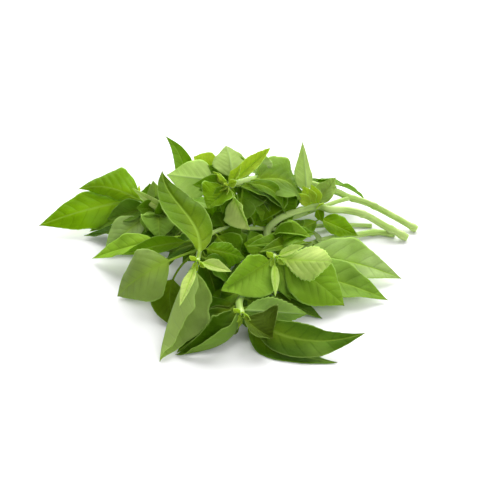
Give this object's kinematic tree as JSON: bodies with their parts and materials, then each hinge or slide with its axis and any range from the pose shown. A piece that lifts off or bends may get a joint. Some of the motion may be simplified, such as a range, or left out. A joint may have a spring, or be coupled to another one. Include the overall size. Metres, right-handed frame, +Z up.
{
  "type": "basil bunch",
  "caption": "Loose bunch of fresh basil lying on its side: cut green stems fanning out into shoots of pointed, glossy leaves.",
  "frame": {"origin": "on the surface it lies on, under the middle of the bunch's box", "axes": "+X along the bunch towards the cut ends of the stems, +Z up from the surface, +Y away from the shoot that reaches furthest forward"},
  "size_m": [0.2646, 0.1969, 0.0685],
  "materials": {
    "leaf": "satin",
    "young_leaf": "satin",
    "stem": "satin"
  },
  "bodies": {
    "root": {"leaf_centre_1": "leaf", "leaf_centre_10": "leaf", "leaf_centre_11": "leaf", "leaf_centre_12": "leaf", "leaf_centre_13": "leaf", "leaf_centre_2": "leaf", "leaf_centre_3": "young_leaf", "leaf_centre_4": "young_leaf", "leaf_centre_5": "leaf", "leaf_centre_6": "leaf", "leaf_centre_7": "leaf", "leaf_centre_8": "leaf", "leaf_centre_9": "leaf", "leaf_front_1": "leaf", "leaf_front_2": "leaf", "leaf_front_3": "leaf", "leaf_front_4": "leaf", "leaf_front_5": "leaf", "leaf_front_6": "leaf", "leaf_front_7": "leaf", "leaf_front_8": "leaf", "leaf_front_9": "leaf", "leaf_left_1": "leaf", "leaf_left_2": "leaf", "leaf_left_3": "leaf", "leaf_left_4": "leaf", "leaf_left_5": "leaf", "leaf_left_6": "leaf", "leaf_left_7": "leaf", "leaf_left_8": "leaf", "leaf_left_9": "leaf", "leaf_node_1": "leaf", "leaf_node_2": "leaf", "leaf_node_3": "leaf", "leaf_node_4": "leaf", "leaf_right_1": "leaf", "leaf_right_2": "young_leaf", "leaf_right_3": "leaf", "leaf_right_4": "leaf", "leaf_right_5": "young_leaf", "leaf_right_6": "young_leaf", "leaf_right_7": "leaf", "leaf_right_8": "leaf", "leaf_top_1": "young_leaf", "leaf_top_10": "leaf", "leaf_top_11": "leaf", "leaf_top_12": "leaf", "leaf_top_13": "leaf", "leaf_top_2": "leaf", "leaf_top_3": "leaf", "leaf_top_4": "leaf", "leaf_top_5": "leaf", "leaf_top_6": "leaf", "leaf_top_7": "leaf", "leaf_top_8": "leaf", "leaf_top_9": "leaf", "stem_back": "stem", "stem_front": "stem", "stem_middle": "stem", "stem_slender": "stem"}
  },
  "joints": []
}
